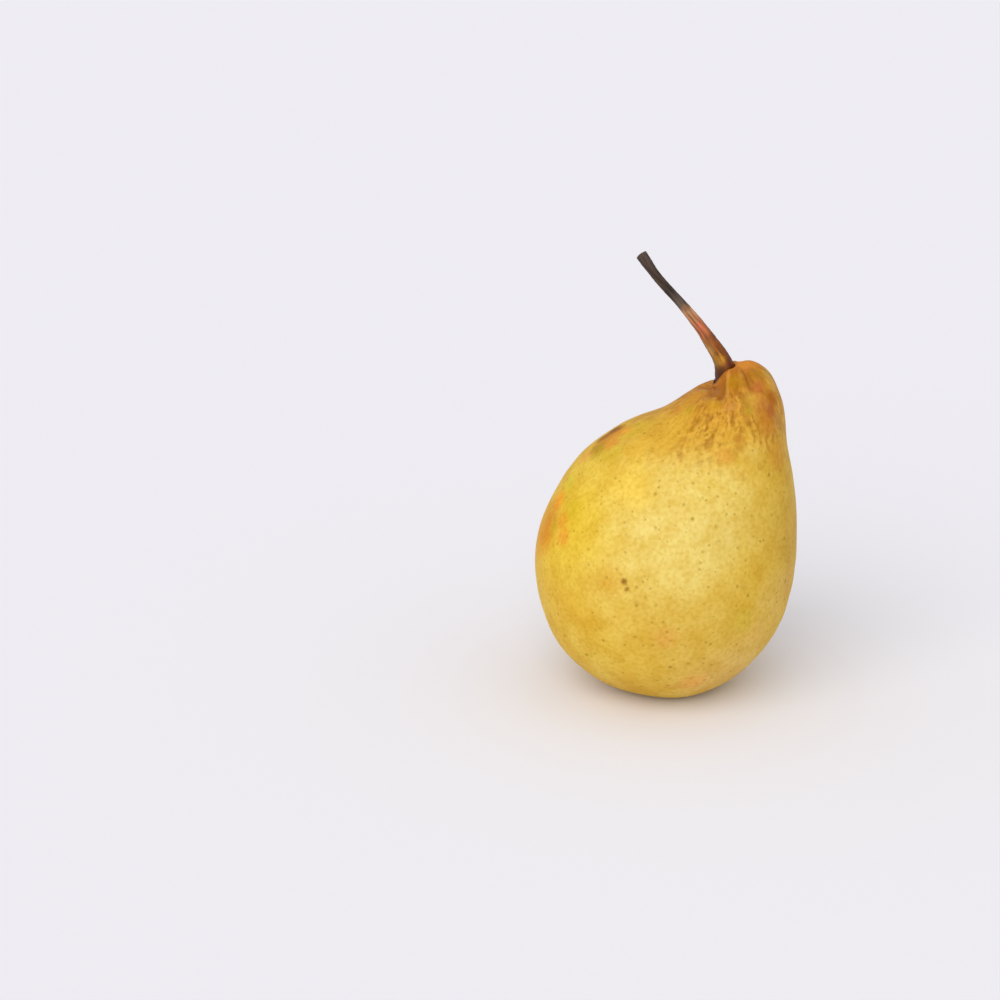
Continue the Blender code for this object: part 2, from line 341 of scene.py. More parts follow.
def pleat_relief(rings, mouth, down):
    """Millimetres that the pleats add: each is a bell across its line seen from above, and it fades in
    past its start and out along its length. Down is in millimetres from the lip's edge."""
    plan = (rings[..., :2] - mouth[:2]) / MM
    relief = np.zeros(down.shape)
    for right, back, heading, height, wide, length in PLEATS:
        way = np.array([math.cos(math.radians(heading)), math.sin(math.radians(heading))])
        place = plan - np.array([right, back])
        ahead = smoothstep(place @ way, -2.0, 1.0)
        aside = bell(place @ np.array([-way[1], way[0]]), wide)
        fade = smoothstep(down, 0.4, 2.6) * (1.0 - smoothstep(down, 0.35 * length, length))
        relief += height * aside * ahead * fade
    return relief


def build_grid_mesh(name, rings, start, end):
    """A closed mesh over the rings, its two ends fanned to the points given."""
    count, sides = rings.shape[:2]
    points = np.vstack([rings.reshape(-1, 3), start, end])
    around = np.arange(sides)
    onward = (around + 1) % sides
    base = (np.arange(count - 1) * sides)[:, None]
    quads = np.stack([base + around, base + onward, base + sides + onward, base + sides + around], axis=-1)
    first = count * sides
    bottom = np.column_stack([onward, around, np.full(sides, first)])
    edge = (count - 1) * sides
    top = np.column_stack([edge + around, edge + onward, np.full(sides, first + 1)])
    loops = np.concatenate([quads.reshape(-1), bottom.reshape(-1), top.reshape(-1)]).astype(np.int32)
    totals = np.concatenate([np.full(quads.shape[0] * sides, 4), np.full(2 * sides, 3)]).astype(np.int32)
    starts = np.concatenate([[0], np.cumsum(totals)[:-1]]).astype(np.int32)
    mesh = bpy.data.meshes.new(name)
    mesh.vertices.add(len(points))
    mesh.vertices.foreach_set("co", points.astype(np.float32).reshape(-1))
    mesh.loops.add(len(loops))
    mesh.loops.foreach_set("vertex_index", loops)
    mesh.polygons.add(len(totals))
    mesh.polygons.foreach_set("loop_start", starts)
    mesh.polygons.foreach_set("loop_total", totals)
    mesh.update(calc_edges=True)
    mesh.validate()
    mesh.shade_smooth()
    return mesh


def add_attribute(mesh, name, grid):
    """Stores a vector for each point of the grid as a mesh attribute. The mesh's two end points get the
    means of the first ring and of the last."""
    values = np.vstack([grid.reshape(-1, 3), grid[0].mean(axis=0), grid[-1].mean(axis=0)])
    layer = mesh.attributes.new(name, "FLOAT_VECTOR", "POINT")
    layer.data.foreach_set("vector", values.astype(np.float32).reshape(-1))


def make_fruit():
    angle = np.linspace(0.0, 2.0 * math.pi, SIDES, endpoint=False)[None, :]
    rings, mouth = fruit_outside(angle)
    flat = rings.reshape(-1, 3)
    low, high = (np.array(corner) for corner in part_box("pear_body"))
    shift = (low + high - flat.min(axis=0) - flat.max(axis=0)) / 2.0 * np.array([1.0, 1.0, 0.0])
    rings += shift
    mouth += shift

    steps = np.linalg.norm(np.diff(rings, axis=0), axis=-1)
    from_end = np.concatenate([np.cumsum(steps[::-1], axis=0)[::-1], np.zeros((1, SIDES))])
    down = (from_end - from_end[-1 - ROWS_BELOW_EDGE * STEPS_PER_RIB]) / MM
    on_skin = smoothstep(down, 3.0, 9.0) * smoothstep(rings[..., 2], 0.001, 0.012)
    folds = pleat_relief(rings, mouth, down)
    relief = folds.copy()
    for seed, count, longest, shortest, height in SWELLS:
        relief += height * soft_lumps(rings, seed, count, longest, shortest) * on_skin
    rings += grid_normals(rings) * relief[..., None] * MM
    rings[..., 2] = np.maximum(rings[..., 2], 0.0)

    basin = fruit_basin(angle) + shift
    everything = np.concatenate([basin, rings])
    mesh = build_grid_mesh("pear_fruit", everything, basin[0].mean(axis=0), rings[-1].mean(axis=0))

    # grain: round the stem on a circle, and millimetres down from the lip's edge
    down = np.concatenate([down[:1] + np.linspace(12.0, 0.0, len(basin))[:, None], down])
    turn = np.arctan2(everything[..., 1] - mouth[1], everything[..., 0] - mouth[0])
    circle = GRAIN_RADIUS * np.stack([np.cos(turn), np.sin(turn)], axis=-1)
    add_attribute(mesh, "grain", np.concatenate([circle, down[..., None]], axis=-1))
    folds = np.concatenate([np.zeros(basin.shape[:2]), folds])
    add_attribute(mesh, "folds", np.repeat(folds[..., None], 3, axis=-1))
    fruit = bpy.data.objects.new("pear_fruit", mesh)
    bpy.context.scene.collection.objects.link(fruit)
    return fruit, mouth


# Ground colours of the ripe skin, and millimetres across one cloud of them
GOLD = "#DCB440"
LEMON = "#E1C052"
CLOUD_SIZE = 24.0

# Broad blushes of ripeness: middle in millimetres, radius of the full colour, radius where it has
# faded away, strength and colour.
BLUSHES = (
    ((0.0, -33.0, 54.0), 5.0, 36.0, 0.90, "#E5CF7A"),       # pale belly
    ((9.0, -25.0, 63.0), 2.0, 13.0, 0.65, "#E9D47C"),
    ((-31.0, -15.0, 54.0), 3.0, 27.0, 0.85, "#E4C43C"),     # golden left flank
    ((35.0, -8.0, 48.0), 6.0, 27.0, 0.80, "#D0AA40"),       # ochre right flank
    ((18.0, -28.0, 40.0), 2.0, 15.0, 0.60, "#DCB640"),      # ochre right of the belly
    ((2.0, -34.0, 25.0), 3.0, 21.0, 0.75, "#DCBA58"),       # ochre under the belly
    ((16.0, -24.0, 10.0), 4.0, 20.0, 0.75, "#E5C06E"),      # tan underside
    ((-10.0, -21.0, 65.0), 2.0, 10.0, 0.50, "#F0CE50"),     # bright yellow above the belly
    ((-6.0, 34.0, 46.0), 6.0, 30.0, 0.70, "#E0BC4A"),       # golden back
    ((26.0, 25.0, 58.0), 3.0, 22.0, 0.60, "#CBB03A"),       # greenish back of the neck
    ((-28.0, 20.0, 34.0), 3.0, 20.0, 0.60, "#D49C2C"),      # orange back cheek
    ((1.1, 0.0, 3.0), 5.0, 14.0, 0.70, "#AA8234"),          # brown round the basin
)

# The head's colours: millimetres down the neck to which each is full, where it has gone, strength and
# colour. Their edge is ragged, which takes them further down by up to the reach, and half of it on average.
RAGGED_REACH = 22.0
HEAD_TINTS = (
    (3.0, 25.0, 0.90, "#D09A36"),
    (-10.0, 9.0, 0.90, "#B66E28"),
)

# Streaks below the stem: how much they are drawn out, width in millimetres, the part of the noise that
# they take, strength and colour.
STREAKS = (
    (0.30, 1.5, 0.42, 0.74, 0.60, "#E8B450"),
    (0.26, 1.0, 0.43, 0.74, 0.85, "#A66E24"),
    (0.40, 0.7, 0.48, 0.78, 0.60, "#90601E"),
)

# Pleats, painted shade in their creases and painted light on their crests: their height in millimetres where
# the colour is full and where it has gone, strength, colour
PLEAT_SHADE_AND_LIGHT = (
    (-0.70, -0.05, 0.65, "#9A6220"),
    (0.55, 0.05, 0.50, "#E0B65C"),
)
CREVICE_SHADE_REACH = 1.3         # millimetres out from the stem that the painted shade of the crevice reaches
CREVICE_SHADE_COLOUR = "#5E3010"

# Corky pores: millimetres between them, smallest and largest radius as shares of that, and strength
PORES = (
    (2.4, 0.14, 0.30, 0.50),
    (5.2, 0.07, 0.16, 0.75),
)
PORE_BROWN = "#A27E2A"

# Mottling: millimetres across, and the thin ochre glaze that it leaves
MOTTLES = (
    (6.0, "#F6EED4"),
    (1.1, "#F4ECD2"),
)
PEEL_GRAIN = 0.9            # millimetres across the fine grain of the peel
WAX_ROUGHNESS = 0.58
CORK_ROUGHNESS = 0.72       # of pores and russet

# Patches on the head and flank, and small marks, in the same terms as the blushes.
MARKS = (
    ((-3.0, -8.0, 75.0), 4.0, 14.0, 0.75, "#DCB03A"),       # golden left shoulder
    ((-9.0, -1.0, 73.2), 2.0, 7.5, 0.70, "#D6B432"),
    ((-8.5, -11.5, 71.2), 1.5, 6.5, 0.65, "#E6BE4A"),
    ((-18.4, -3.6, 67.4), 1.2, 4.4, 0.80, "#BE9C20"),
    ((-15.5, -8.5, 68.5), 1.5, 6.0, 0.60, "#D6BC3A"),
    ((6.5, -1.5, 81.5), 1.0, 4.5, 0.80, "#D0962A"),         # amber left of the stem
    ((5.0, -6.5, 79.5), 0.6, 2.8, 0.70, "#C4A024"),
    ((12.3, -1.6, 83.2), 0.6, 3.0, 0.80, "#A8743E"),        # painted shade in the hollow beside the stem
    ((11.0, -9.4, 81.8), 0.8, 3.4, 0.80, "#CC9A2C"),        # olive gold below it
    ((16.8, -4.8, 86.4), 1.0, 3.4, 0.85, "#B48218"),        # olive lobe in front of the stem
    ((15.2, -11.2, 82.0), 0.4, 2.2, 0.70, "#CC9248"),       # pale pleats, partly painted light, and the dark one between, partly painted shade
    ((19.1, -9.3, 84.3), 0.3, 1.8, 0.65, "#9E6C28"),
    ((21.4, -9.8, 83.8), 0.8, 3.0, 0.85, "#D8AC46"),
    ((19.8, -12.2, 81.3), 0.4, 2.3, 0.75, "#B2942C"),
    ((19.0, -10.7, 83.1), 0.4, 2.0, 0.65, "#B0842A"),
    ((18.3, -6.4, 86.4), 0.4, 2.0, 0.70, "#A9741C"),
    ((19.2, 0.8, 89.6), 1.5, 5.5, 0.85, "#D68C34"),         # orange hump
    ((22.8, -3.8, 88.8), 0.8, 3.4, 0.75, "#B27E22"),
    ((22.6, -7.2, 86.2), 0.6, 2.8, 0.75, "#B86A36"),
    ((24.8, -9.4, 81.8), 1.5, 6.0, 0.75, "#BC7A34"),        # red brown side of the hump
    ((24.8, -12.2, 77.8), 1.0, 5.0, 0.75, "#BE7A28"),
    ((26.2, -6.6, 82.8), 0.8, 3.2, 0.80, "#B0680E"),
    ((25.8, -9.4, 80.4), 0.6, 2.8, 0.75, "#AA5C2C"),
    ((26.3, -3.6, 85.9), 0.6, 3.0, 0.80, "#D8A850"),        # painted highlight on the pale edge of the hump, and its olive edge
    ((25.8, -1.6, 88.2), 0.5, 2.8, 0.60, "#B8A050"),
    ((17.0, -17.2, 75.4), 0.6, 2.4, 0.65, "#BA7C2A"),       # drawn out tan streaks
    ((17.3, -18.6, 73.2), 0.5, 2.0, 0.50, "#B87E28"),
    ((13.0, -20.5, 71.6), 1.0, 4.0, 0.55, "#DEA448"),
    ((20.5, -18.2, 71.2), 1.0, 4.4, 0.75, "#E0BE5C"),
    ((27.7, -12.2, 69.4), 2.0, 6.5, 0.75, "#CE962C"),
    ((28.0, -8.2, 77.2), 0.8, 3.4, 0.65, "#B48646"),
    ((4.9, -13.2, 76.5), 0.3, 1.6, 0.70, "#A47216"),        # dark dashes
    ((6.8, -11.5, 78.7), 0.3, 1.5, 0.65, "#A8761E"),
    ((19.7, -14.4, 78.6), 0.3, 1.6, 0.65, "#A06C20"),
    ((9.2, -21.2, 71.0), 0.3, 1.6, 0.40, "#B0842A"),
    ((-5.5, -14.8, 71.4), 0.2, 1.6, 0.45, "#B08622"),
    ((-15.2, 2.0, 69.8), 2.5, 6.5, 0.70, "#D48A28"),        # orange round the scuff
    ((-11.4, 0.2, 71.8), 0.8, 3.0, 0.80, "#E8A434"),
    ((-15.2, -3.8, 69.4), 1.0, 3.6, 0.80, "#DE9834"),
    ((-18.9, -1.2, 67.2), 1.0, 3.6, 0.75, "#B29014"),
    ((-14.2, 5.4, 70.9), 0.8, 4.0, 0.85, "#7A4806"),        # scuff on the left shoulder
    ((-17.3, 4.2, 69.0), 0.5, 3.8, 0.80, "#8A5608"),
    ((-21.6, -0.8, 64.8), 1.0, 3.6, 0.60, "#E4A648"),       # orange cheek, with greenish bands
    ((-26.8, -5.2, 57.8), 1.5, 5.0, 0.75, "#D2BE2C"),
    ((-29.0, -5.4, 54.0), 0.6, 5.4, 0.85, "#F09E14"),
    ((-33.0, -7.0, 46.2), 1.5, 10.0, 0.90, "#D68A08"),
    ((-34.0, 1.0, 47.0), 2.0, 9.5, 0.45, "#DA9A26"),
    ((-33.4, -3.0, 38.5), 1.5, 8.0, 0.45, "#DC9E2A"),
    ((-28.0, -13.0, 51.4), 1.2, 4.0, 0.75, "#E6A42C"),
    ((-28.1, -16.4, 48.0), 1.0, 4.0, 0.70, "#E49A2E"),
    ((-30.4, -10.4, 48.6), 0.8, 2.8, 0.70, "#CCAC26"),
    ((-25.4, -14.2, 54.8), 1.0, 4.2, 0.70, "#DAC22E"),
    ((-16.0, -30.0, 41.0), 1.0, 6.0, 0.50, "#D8A63A"),
    ((-12.8, -31.7, 41.4), 0.2, 1.4, 0.85, "#8A5420"),      # two specks on the belly
    ((-12.0, -32.2, 39.4), 0.2, 1.2, 0.75, "#9A5A1E"),
    ((-10.0, -32.8, 36.0), 0.2, 1.4, 0.40, "#B5822E"),
    ((-1.8, -33.0, 26.5), 1.0, 5.0, 0.55, "#E0A852"),       # pinkish gold low on the belly
    ((18.6, -28.3, 30.0), 1.0, 5.5, 0.55, "#D8BC40"),
    ((22.6, -23.5, 23.8), 1.0, 5.0, 0.50, "#E2AE58"),
    ((6.4, -25.6, 10.3), 1.0, 6.0, 0.65, "#EEAE54"),
    ((31.0, -15.5, 35.2), 1.0, 6.0, 0.50, "#D6A85C"),
    ((27.5, -21.0, 31.5), 3.0, 12.0, 0.60, "#E4C56A"),
    ((18.2, -29.1, 39.2), 0.5, 2.6, 0.30, "#C89C3C"),
    ((1.8, -2.8, 78.5), 0.6, 2.8, 0.60, "#CE8A34"),
    ((1.1, 0.0, 5.5), 3.0, 9.5, 0.65, "#8C6630"),           # russet in the calyx basin
    ((14.5, 12.0, 82.0), 0.8, 4.5, 0.50, "#A8702C"),        # the back's own marks
    ((-14.0, 27.0, 58.0), 0.3, 2.0, 0.70, "#94662A"),
    ((-16.5, 27.5, 55.0), 0.2, 1.3, 0.60, "#8A5A20"),
    ((22.0, 24.0, 30.0), 0.3, 2.2, 0.60, "#A47A34"),
)


def add_patches(tree, place, colour, patches):
    """Lays patches of colour over one another, each fading with the distance from its middle."""
    for middle, full, gone, strength, tint in patches:
        away = add_node(tree, "ShaderNodeVectorMath", {0: place, 1: middle}, operation="DISTANCE")
        share = add_node(tree, "ShaderNodeMapRange", {
            "Value": away.outputs["Value"], 1: full, 2: gone, 3: strength, 4: 0.0},
            interpolation_type="SMOOTHSTEP")
        colour = add_node(tree, "ShaderNodeMix", {0: share.outputs[0], 6: colour, 7: linear(tint)},
                          data_type="RGBA").outputs[2]
    return colour


def stirred(tree, spot, size, reach):
    """Places pushed about by a noise of the size given in millimetres, by up to half the reach, so that
    patches get ragged edges."""
    noise = add_node(tree, "ShaderNodeTexNoise", {"Vector": spot, "Scale": 1.0 / size, "Detail": 2.0})
    push = add_node(tree, "ShaderNodeVectorMath", {
        0: noise.outputs["Color"], 1: (reach, reach, reach), 2: (-reach / 2.0, -reach / 2.0, -reach / 2.0)},
        operation="MULTIPLY_ADD")
    return add_node(tree, "ShaderNodeVectorMath", {0: spot, 1: push.outputs[0]}).outputs[0]


def skin_ground(tree, spot):
    """Gold and lemon in soft clouds, with the blushes over them."""
    clouds = add_node(tree, "ShaderNodeTexNoise", {"Vector": spot, "Scale": 1.0 / CLOUD_SIZE, "Detail": 2.0})
    share = add_node(tree, "ShaderNodeMapRange", {"Value": clouds.outputs[0], 1: 0.40, 2: 0.62})
    colour = add_node(tree, "ShaderNodeMix", {
        0: share.outputs[0], 6: linear(GOLD), 7: linear(LEMON)}, data_type="RGBA").outputs[2]
    return add_patches(tree, stirred(tree, spot, 11.0, 14.0), colour, BLUSHES)


def skin_russet(tree, spot, grain, down, folds, colour):
    """The head's amber and orange brown, which reach down the neck raggedly, and over them the streaks
    that run down from the stem, dark and pale. The pleats get painted shade in their creases and
    painted light on their crests, and the crevice round the stem gets painted shade. Gives the colour
    and how much of it is dull russet."""
    ragged = add_node(tree, "ShaderNodeTexNoise", {"Vector": spot, "Scale": 1.0 / 6.0, "Detail": 4.0})
    depth = add_node(tree, "ShaderNodeMath", {0: ragged.outputs[0], 1: -RAGGED_REACH, 2: down},
                     operation="MULTIPLY_ADD")
    for full, gone, strength, tint in HEAD_TINTS:
        share = add_node(tree, "ShaderNodeMapRange", {
            "Value": depth.outputs[0], 1: full, 2: gone, 3: strength, 4: 0.0},
            interpolation_type="SMOOTHSTEP")
        colour = add_node(tree, "ShaderNodeMix", {0: share.outputs[0], 6: colour, 7: linear(tint)},
                          data_type="RGBA").outputs[2]

    # the streaks are faint beside the stem, and die away down the neck with the same ragged edge
    neck = add_node(tree, "ShaderNodeMapRange", {
        "Value": depth.outputs[0], 1: 5.0, 2: 30.0, 3: 1.0, 4: 0.0}, interpolation_type="SMOOTHSTEP")
    clear = add_node(tree, "ShaderNodeMapRange", {
        "Value": down, 1: 1.0, 2: 9.0, 3: 0.15}, interpolation_type="SMOOTHSTEP")
    shoulder = add_node(tree, "ShaderNodeMath", {0: neck.outputs[0], 1: clear.outputs[0]},
                        operation="MULTIPLY")
    for squeeze, width, low, high, strength, tint in STREAKS:
        drawn = add_node(tree, "ShaderNodeMapping", {"Vector": grain, "Scale": (1.0, 1.0, squeeze)})
        noise = add_node(tree, "ShaderNodeTexNoise", {
            "Vector": drawn.outputs[0], "Scale": 1.0 / width, "Detail": 1.5, "Distortion": 0.2})
        lines = add_node(tree, "ShaderNodeMapRange", {
            "Value": noise.outputs[0], 1: low, 2: high, 4: strength}, interpolation_type="SMOOTHSTEP")
        kept = add_node(tree, "ShaderNodeMath", {0: lines.outputs[0], 1: shoulder.outputs[0]},
                        operation="MULTIPLY")
        colour = add_node(tree, "ShaderNodeMix", {0: kept.outputs[0], 6: colour, 7: linear(tint)},
                          data_type="RGBA").outputs[2]
    # painted shade in the pleats' creases and painted light on their crests
    for full, gone, strength, tint in PLEAT_SHADE_AND_LIGHT:
        share = add_node(tree, "ShaderNodeMapRange", {"Value": folds, 1: full, 2: gone, 3: strength, 4: 0.0})
        colour = add_node(tree, "ShaderNodeMix", {0: share.outputs[0], 6: colour, 7: linear(tint)},
                          data_type="RGBA").outputs[2]
    # painted shade in the crevice round the stem
    crevice = add_node(tree, "ShaderNodeMapRange", {
        "Value": down, 1: 0.0, 2: CREVICE_SHADE_REACH, 3: 0.85, 4: 0.0})
    colour = add_node(tree, "ShaderNodeMix", {0: crevice.outputs[0], 6: colour, 7: linear(CREVICE_SHADE_COLOUR)},
                      data_type="RGBA").outputs[2]
    return colour, kept.outputs[0]


def skin_pores(tree, spot, colour):
    """Corky pores, each a soft olive brown dot of its own size. Gives the colour and the dots."""
    total = None
    for apart, smallest, largest, strength in PORES:
        cells = add_node(tree, "ShaderNodeTexVoronoi", {"Vector": spot, "Scale": 1.0 / apart})
        chance = add_node(tree, "ShaderNodeSeparateXYZ", {0: cells.outputs["Color"]})
        size = add_node(tree, "ShaderNodeMapRange", {"Value": chance.outputs[0], 3: smallest, 4: largest})
        inward = add_node(tree, "ShaderNodeMath", {0: cells.outputs["Distance"], 1: size.outputs[0]},
                          operation="DIVIDE")
        dots = add_node(tree, "ShaderNodeMapRange", {
            "Value": inward.outputs[0], 1: 0.20, 2: 1.0, 3: strength, 4: 0.0},
            interpolation_type="SMOOTHSTEP")
        colour = add_node(tree, "ShaderNodeMix", {0: dots.outputs[0], 6: colour, 7: linear(PORE_BROWN)},
                          data_type="RGBA").outputs[2]
        total = dots.outputs[0] if total is None else add_node(
            tree, "ShaderNodeMath", {0: total, 1: dots.outputs[0]}, operation="MAXIMUM").outputs[0]
    return colour, total


def skin_mottle(tree, spot, colour):
    """Soft unevenness of the skin, coarse and fine, between a thin ochre glaze and clear skin."""
    for size, glaze in MOTTLES:
        noise = add_node(tree, "ShaderNodeTexNoise", {"Vector": spot, "Scale": 1.0 / size, "Detail": 2.0})
        clear = add_node(tree, "ShaderNodeMapRange", {"Value": noise.outputs[0], 1: 0.32, 2: 0.60})
        tint = add_node(tree, "ShaderNodeMix", {0: clear.outputs[0], 6: linear(glaze), 7: linear("#FFFFFF")},
                        data_type="RGBA")
        colour = add_node(tree, "ShaderNodeMix", {0: 1.0, 6: colour, 7: tint.outputs[2]}, data_type="RGBA",
                          blend_type="MULTIPLY").outputs[2]
    return colour


def waxy_pear_skin():
    """Ripe pear skin: a thin natural wax gives it a soft sheen, broken by corky pores and by the dull
    russet that streams down from the stem."""
    material, output = new_material("waxy_pear_skin")
    tree = material.node_tree
    place = add_node(tree, "ShaderNodeTexCoord")
    mm = add_node(tree, "ShaderNodeMapping", {
        "Vector": place.outputs["Object"], "Scale": (1.0 / MM, 1.0 / MM, 1.0 / MM)})
    spot = mm.outputs[0]
    grain = add_node(tree, "ShaderNodeAttribute", attribute_name="grain").outputs["Vector"]
    down = add_node(tree, "ShaderNodeSeparateXYZ", {0: grain}).outputs[2]

    colour = skin_ground(tree, spot)
    folds = add_node(tree, "ShaderNodeAttribute", attribute_name="folds").outputs["Fac"]
    colour, russet = skin_russet(tree, spot, grain, down, folds, colour)
    colour = add_patches(tree, stirred(tree, spot, 1.6, 1.8), colour, MARKS)
    colour, dots = skin_pores(tree, spot, colour)
    colour = skin_mottle(tree, spot, colour)

    corky = add_node(tree, "ShaderNodeMath", {0: dots, 1: russet}, operation="MAXIMUM")
    dull = add_node(tree, "ShaderNodeMapRange", {
        "Value": corky.outputs[0], 3: WAX_ROUGHNESS, 4: CORK_ROUGHNESS})
    peel = add_node(tree, "ShaderNodeTexNoise", {"Vector": spot, "Scale": 1.0 / PEEL_GRAIN, "Detail": 2.0})
    height = add_node(tree, "ShaderNodeMath", {0: dots, 1: 1.2, 2: peel.outputs[0]},
                      operation="MULTIPLY_ADD")
    bump = add_node(tree, "ShaderNodeBump", {
        "Strength": 0.45, "Distance": 0.1 * MM, "Height": height.outputs[0]})
    shader = add_node(tree, "ShaderNodeBsdfPrincipled", {
        "Base Color": colour, "Roughness": dull.outputs[0], "IOR": 1.45, "Specular IOR Level": 0.22,
        "Specular Tint": linear("#F0D68C"),
        "Subsurface Weight": 0.10, "Subsurface Radius": (1.0, 0.55, 0.20), "Subsurface Scale": 0.0020,
        "Normal": bump.outputs[0]})
    tree.links.new(shader.outputs[0], output.inputs["Surface"])
    return material


fruit, stem_mouth = make_fruit()
fruit.data.materials.append(waxy_pear_skin())
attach(fruit, "root")
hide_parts("pear_body")

# ---------------------------------------------------------------------------------------------
# Stem. A woody stalk, thick and reddish where the flesh holds it, thin with dull dark bark above,
# and swollen at the end where it came off the spur. Its foot is buried in the head's socket.
# ---------------------------------------------------------------------------------------------
STEM_LENGTH = 0.0400        # from the socket's mouth to the cut end
STEM_FOOT_RADIUS = 0.0030
STEM_SLENDER_RADIUS = 0.00105
STEM_TIP_RADIUS = 0.00155
FOOT_TAPER = 0.0105         # length over which the foot's swelling dies away
TIP_TAPER = 0.0065          # length over which the tip's swelling dies away
BURIED = 0.0050             # how deep the foot stands in the fruit
FOOT_SLANT = 0.20           # sideways run of the buried foot for each unit of depth
BARK_START = 0.0215         # along the stem, where the fleshy part ends and the dark bark starts
BARK_SHRINKAGE = 0.05       # the bark is thinner by this share
CUT_ROUNDING = 0.40         # millimetres that the middle of the cut end lies below its rim
CUT_SWELL = 0.30            # and that the rim is rounded up
STALK_GRAIN_RADIUS = 2.0    # millimetres, of the circle that the stalk's grain is laid round
FIBRES_PER_MM = 1.4
FIBRE_SQUEEZE = 0.12        # a fibre's width as a share of its length
BLOTCHES_PER_MM = 0.6
BLOTCH_SHIFT = 3.0          # millimetres by which the blotches move the stalk's colours along it
FLESHY_ROUGHNESS = 0.45
BARK_ROUGHNESS = 0.78
STEM_SIDES = 72
STEM_STEPS_PER_POINT = 26

# Course from the socket's mouth, as shares of the stem's length: to the right, back and up
STEM_COURSE = (
    (0.000, 0.000, 0.000),
    (-0.035, 0.000, 0.110),
    (-0.110, 0.005, 0.230),
    (-0.200, 0.010, 0.355),
    (-0.330, 0.010, 0.510),
    (-0.465, 0.005, 0.660),
    (-0.572, 0.000, 0.808),
)

# Knots and pits: seed, number of waves, longest and shortest in metres, height as a share of the radius
STEM_KNOTS = (
    (21, 12, 0.010, 0.005, 0.035),
    (22, 12, 0.002, 0.0012, 0.012),
)

# Colour of the stalk from its foot up: millimetres along it, and colour
STALK_COLOURS = (
    # the dark maroon at the foot is painted shade where the stem goes into its socket
    (1.6, "#4A2010"),
    (3.0, "#6A3A0C"),
    (5.5, "#84500E"),
    (9.0, "#8C5216"),
    (11.5, "#A06430"),
    (14.0, "#B8683E"),
    (17.0, "#B4764C"),
    (20.3, "#A87A54"),
    (21.9, "#7A583E"),
    (22.8, "#5A4B40"),
    (25.5, "#50413A"),
    (28.0, "#382E28"),
    (31.0, "#4A3A2E"),
    (34.0, "#46362C"),
    (38.0, "#4C3E36"),
)

# Patches on the stalk in its own grain, in millimetres: to the right, back and along, then the radius of
# the full colour, radius where it has faded away, strength and colour.
# The stalk's own red brown and gold, partly painted light on its lit left and front and painted shade on its
# right.
STALK_PATCHES = (
    ((0.2, -2.0, 15.5), 0.5, 2.4, 0.50, "#C4624A"),         # pinkish halfway up, partly painted highlight
    ((-1.6, -1.2, 8.5), 0.6, 2.8, 0.60, "#AC8448"),         # olive tan on the lit left, partly painted light
    ((-1.7, -1.0, 4.8), 0.6, 2.6, 0.60, "#A07A3C"),
    ((-0.3, -2.0, 5.2), 0.5, 2.2, 0.65, "#B47C1C"),
    ((1.6, -1.2, 11.2), 0.4, 2.8, 0.75, "#6E2E10"),         # dark red on the shaded right, partly painted shade
    ((1.2, -1.6, 8.6), 0.3, 2.0, 0.60, "#8A3E0A"),
    ((1.8, -0.8, 6.2), 0.5, 2.2, 0.75, "#74340C"),
    ((1.8, -0.8, 3.4), 0.5, 2.4, 0.80, "#5E2408"),
)


def make_stem(mouth):
    """Circles square to the course: the radius is slender + foot swelling * exp(-distance / taper)
    + tip swelling * exp(-distance from the tip / taper), with ridges and knots on it."""
    foot = mouth + BURIED * np.array([FOOT_SLANT, 0.0, -1.0])
    course = np.vstack([foot, np.array(STEM_COURSE) * STEM_LENGTH + mouth])
    middle = smooth_curve(course, STEM_STEPS_PER_POINT)
    distance = np.concatenate([[0.0], np.cumsum(np.linalg.norm(np.diff(middle, axis=0), axis=1))])
    distance -= np.linalg.norm(foot - mouth)
    tangent = np.gradient(middle, axis=0)
    tangent /= np.linalg.norm(tangent, axis=1, keepdims=True)
    across = np.cross(np.array([0.0, 1.0, 0.0]), tangent)
    across /= np.linalg.norm(across, axis=1, keepdims=True)
    back = np.cross(tangent, across)
    swelling = (STEM_FOOT_RADIUS - STEM_SLENDER_RADIUS) * np.exp(-np.clip(distance, 0.0, None) / FOOT_TAPER)
    flare = (STEM_TIP_RADIUS - STEM_SLENDER_RADIUS) * np.exp((distance - distance.max()) / TIP_TAPER)
    shrunk = 1.0 - BARK_SHRINKAGE * smoothstep(distance, BARK_START - 0.0005, BARK_START + 0.0010)
    radius = ((STEM_SLENDER_RADIUS + swelling + flare) * shrunk)[:, None]
    angle = np.linspace(0.0, 2.0 * math.pi, STEM_SIDES, endpoint=False)[None, :]
    ridges = 0.025 * np.cos(5.0 * angle + 90.0 * distance[:, None]) + 0.012 * np.cos(11.0 * angle + 1.0)
    ring = np.cos(angle)[..., None] * across[:, None] + np.sin(angle)[..., None] * back[:, None]
    tube = middle[:, None] + ring * radius[..., None]
    knots = sum(height * soft_lumps(tube, seed, count, longest, shortest)
                for seed, count, longest, shortest, height in STEM_KNOTS)
    tube = middle[:, None] + ring * (radius * (1.0 + ridges + knots))[..., None]

    # the cut end: a rounded rim and a shallow hollow
    share = np.linspace(0.0, 1.0, 9)[1:-1, None, None]
    rim = tube[-1] - middle[-1]
    hollow = CUT_SWELL * MM * np.sin(share * math.pi) - CUT_ROUNDING * MM * share
    end = middle[-1] + rim * np.cos(share * math.pi / 2.0) + tangent[-1] * hollow
    rings = np.concatenate([tube, end])
    far = middle[-1] - tangent[-1] * CUT_ROUNDING * MM
    mesh = build_grid_mesh("pear_stem", rings, middle[0], far)
    along = np.concatenate([distance, np.full(len(end), distance[-1])])[:, None] / MM + 0.0 * angle
    turn = np.broadcast_to(angle, along.shape)
    circle = STALK_GRAIN_RADIUS * np.stack([np.cos(turn), np.sin(turn)], axis=-1)
    add_attribute(mesh, "grain", np.concatenate([circle, along[..., None]], axis=-1))
    stem = bpy.data.objects.new("pear_stem", mesh)
    bpy.context.scene.collection.objects.link(stem)
    return stem


